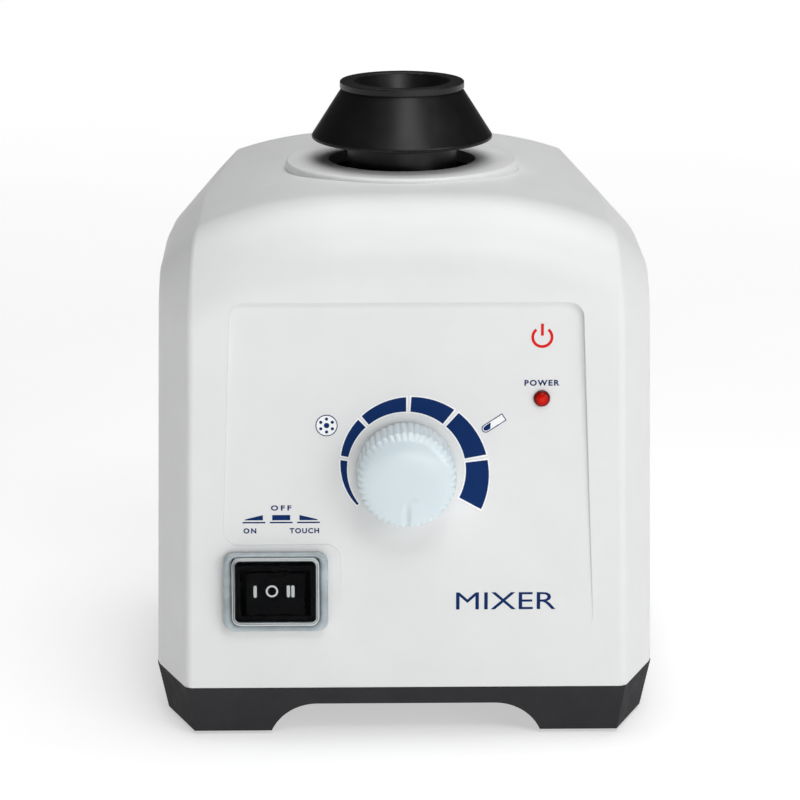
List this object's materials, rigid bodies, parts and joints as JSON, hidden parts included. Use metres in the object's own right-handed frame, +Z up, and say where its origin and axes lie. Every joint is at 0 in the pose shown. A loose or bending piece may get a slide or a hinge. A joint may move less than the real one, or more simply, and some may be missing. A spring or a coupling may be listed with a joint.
{
  "type": "vortex mixer",
  "caption": "Bench vortex mixer: an orbiting rubber cup shakes a test tube pressed into it, with a speed knob, a power lamp and an on-off-touch rocker switch.",
  "frame": {"origin": "on the surface that the mixer stands on, at the centre of its overall footprint", "axes": "+Z up along the cup's axis, -Y out of the front panel, +X to the right seen from the front"},
  "size_m": [0.1346, 0.1456, 0.1675],
  "materials": {
    "housing_shell": "satin",
    "base_paint": "satin",
    "foot_rubber": "matte",
    "zinc_steel": "satin",
    "cup_rubber": "satin",
    "guard_plastic": "matte",
    "knob_plastic": "satin",
    "lamp_red": "gloss",
    "black_plastic": "matte",
    "boot_clear": "gloss",
    "switch_black": "gloss",
    "contact_brass": "satin",
    "pot_case": "satin",
    "board_laminate": "satin",
    "capacitor_case": "gloss",
    "choke_core": "satin",
    "heatsink_aluminium": "satin",
    "terminal_plastic": "satin",
    "fuse_glass": "clear",
    "bush_bronze": "satin",
    "spring_steel": "satin",
    "carriage_aluminium": "satin",
    "bell_aluminium": "cast",
    "lamination_steel": "satin",
    "copper_wire": "satin",
    "bearing_steel": "polished",
    "fan_plastic": "satin"
  },
  "bodies": {
    "chassis": {"upper_housing": "housing_shell", "base_casting": "base_paint", "foot_front_left": "foot_rubber", "foot_front_right": "foot_rubber", "foot_rear_left": "foot_rubber", "foot_rear_right": "foot_rubber", "foot_screws": "zinc_steel", "housing_screws": "zinc_steel", "guide_posts": "zinc_steel", "guide_clips": "spring_steel", "carriage_springs": "spring_steel", "microswitch_body": "black_plastic", "microswitch_screws": "zinc_steel", "speed_pot": "pot_case", "pot_nut": "zinc_steel", "led_lens": "lamp_red", "led_clip": "black_plastic", "switch_body": "switch_black", "switch_terminals": "contact_brass", "switch_boot": "boot_clear", "control_board": "board_laminate", "board_screws": "zinc_steel", "filter_capacitor": "capacitor_case", "suppression_choke": "choke_core", "triac": "black_plastic", "triac_heatsink": "heatsink_aluminium", "terminal_block": "terminal_plastic", "inlet_body": "black_plastic", "inlet_pins": "contact_brass", "inlet_screws": "zinc_steel"},
    "carriage": {"carriage_plate": "carriage_aluminium", "guide_bushes": "bush_bronze", "motor_lower_bell": "bell_aluminium", "motor_upper_bell": "bell_aluminium", "motor_stator": "lamination_steel", "motor_windings": "copper_wire", "motor_screws": "zinc_steel", "bearing_outer_rings": "bearing_steel", "anti_rotation_pins": "bearing_steel"},
    "rotor": {"motor_shaft": "bearing_steel", "rotor_core": "lamination_steel", "rotor_end_rings": "bell_aluminium", "cooling_fan": "fan_plastic", "bearing_inner_rings": "bearing_steel", "eccentric_hub": "zinc_steel", "eccentric_setscrew": "black_plastic", "orbit_bearing_inner": "bearing_steel"},
    "cup": {"cup_hub": "carriage_aluminium", "orbit_bearing_outer": "bearing_steel", "drip_guard": "guard_plastic", "rubber_cup": "cup_rubber"},
    "sensor_lever": {"microswitch_lever": "spring_steel"},
    "knob": {"speed_knob": "knob_plastic", "pot_shaft": "zinc_steel"},
    "rocker": {"rocker": "switch_black"},
    "fuse_drawer": {"fuse_drawer": "black_plastic", "fuse_link": "fuse_glass"}
  },
  "joints": [
    {"name": "head_press", "type": "slide", "parent": "chassis", "child": "carriage", "axis": [0, 0, 1], "range_m": [-0.002, 0], "stiffness_N_per_m": 8000, "springref_m": 0.004, "deforming": ["carriage_springs"]},
    {"name": "motor_spin", "type": "hinge", "parent": "carriage", "child": "rotor", "pos_m": [0, 0.00515, 0.1], "axis": [0, 0, 1], "continuous": true},
    {"name": "cup_orbit", "type": "hinge", "parent": "rotor", "child": "cup", "pos_m": [0, 0.00315, 0.137], "axis": [0, 0, 1], "continuous": true},
    {"name": "sensor_lever_tilt", "type": "hinge", "parent": "chassis", "child": "sensor_lever", "pos_m": [-0.008, 0.02535, 0.025], "axis": [0, 1, 0], "range_deg": [0, 7]},
    {"name": "knob_turn", "type": "hinge", "parent": "chassis", "child": "knob", "pos_m": [0, -0.06485, 0.074], "axis": [0, 1, 0], "range_deg": [0, 300]},
    {"name": "rocker_tilt", "type": "hinge", "parent": "chassis", "child": "rocker", "pos_m": [-0.0346, -0.05685, 0.0409], "axis": [0, 0, 1], "range_deg": [-10, 10]},
    {"name": "fuse_drawer_slide", "type": "slide", "parent": "chassis", "child": "fuse_drawer", "axis": [0, 1, 0], "range_m": [0, 0.018]}
  ],
  "couplings": [
    {"joint": "cup_orbit", "follows": "motor_spin", "ratio": -1},
    {"joint": "sensor_lever_tilt", "follows": "head_press", "rad_per_m": -60}
  ]
}
